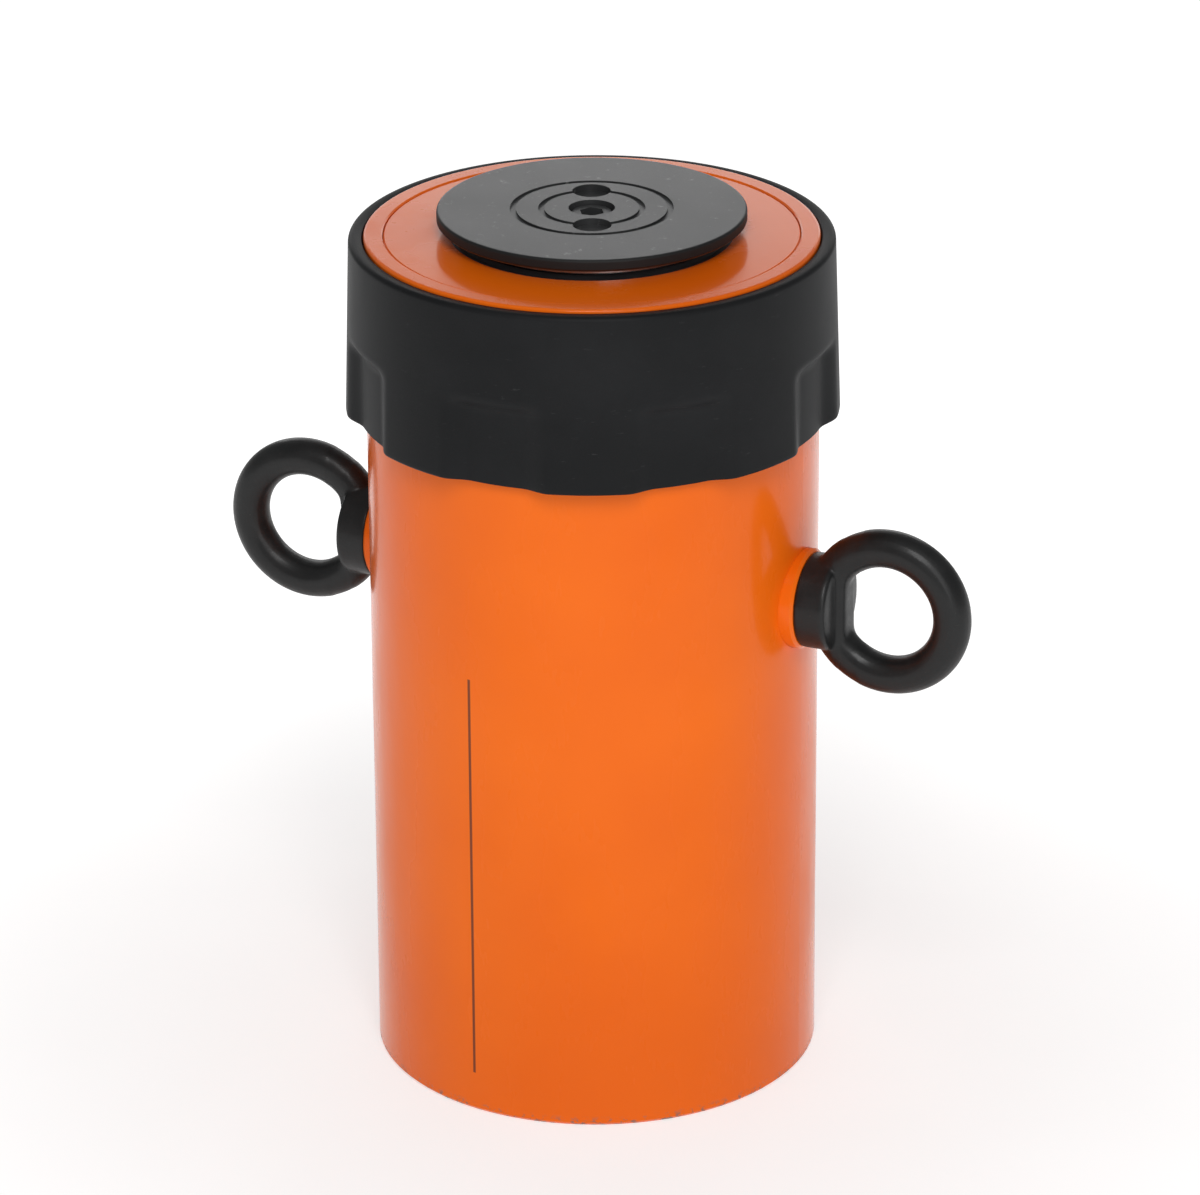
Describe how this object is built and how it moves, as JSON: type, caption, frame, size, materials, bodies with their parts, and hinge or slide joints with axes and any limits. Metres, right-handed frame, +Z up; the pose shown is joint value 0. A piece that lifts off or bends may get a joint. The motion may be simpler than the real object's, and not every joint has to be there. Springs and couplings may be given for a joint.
{
  "type": "hydraulic lifting cylinder",
  "caption": "Remote-pump hydraulic lifting cylinder: plain barrel with a collar thread protector, low saddle, lifting eyes and an oil coupler near the base.",
  "frame": {"origin": "centre of the barrel's base face", "axes": "+Z up the barrel towards the saddle, +X through the lifting eyes, +Y through the oil coupler"},
  "size_m": [0.2956, 0.212, 0.3288],
  "materials": {
    "cylinder_paint": "glossy orange enamel over steel",
    "protector_black": "matt black moulded, faint grain",
    "saddle_black": "blackened hardened steel, turned face",
    "forged_black": "black-finished drop forging",
    "plunger_chrome": "ground and hard-chromed steel",
    "bright_steel": "zinc-plated steel",
    "spring_steel": "oiled spring steel",
    "guide_fabric": "bearing fabric, matt",
    "seal_rubber": "polyurethane and nitrile, satin",
    "backup_white": "acetal, matt",
    "cap_red": "moulded, satin"
  },
  "bodies": {
    "barrel": {"barrel": "cylinder_paint", "gland_nut": "cylinder_paint", "gland_guide_ring": "guide_fabric", "gland_wiper": "seal_rubber", "gland_o_ring": "seal_rubber", "gland_lock_screw": "bright_steel", "return_spring": "spring_steel", "spring_base_anchor": "bright_steel", "eye_boss_left": "cylinder_paint", "eye_boss_right": "cylinder_paint", "eye_bolt_left": "forged_black", "eye_bolt_right": "forged_black", "coupler_body": "bright_steel", "coupler_bonded_seal": "seal_rubber", "coupler_valve_spring": "spring_steel", "coupler_clip": "spring_steel", "coupler_o_ring": "seal_rubber"},
    "plunger": {"plunger": "plunger_chrome", "piston_guide_ring": "guide_fabric", "piston_seal": "seal_rubber", "piston_backup_ring": "backup_white", "saddle": "saddle_black", "saddle_screw": "saddle_black", "spring_head_anchor": "bright_steel"},
    "thread_protector": {"thread_protector": "protector_black"},
    "coupler_valve": {"coupler_valve": "bright_steel"},
    "dust_cap": {"dust_cap": "cap_red", "dust_cap_seal": "seal_rubber"}
  },
  "joints": [
    {"name": "plunger_lift", "type": "slide", "parent": "barrel", "child": "plunger", "axis": [0, 0, 1], "range_m": [0, 0.15], "stiffness_N_per_m": 4000, "springref_m": -0.03, "deforming": ["return_spring"]},
    {"name": "protector_off", "type": "slide", "parent": "barrel", "child": "thread_protector", "axis": [0, 0, 1], "range_m": [0, 0.09]},
    {"name": "valve_push", "type": "slide", "parent": "barrel", "child": "coupler_valve", "axis": [0, -1, 0], "range_m": [0, 0.003], "stiffness_N_per_m": 1500, "springref_m": -0.004, "deforming": ["coupler_valve_spring"]},
    {"name": "cap_off", "type": "slide", "parent": "barrel", "child": "dust_cap", "axis": [0, 1, 0], "range_m": [0, 0.03]}
  ]
}
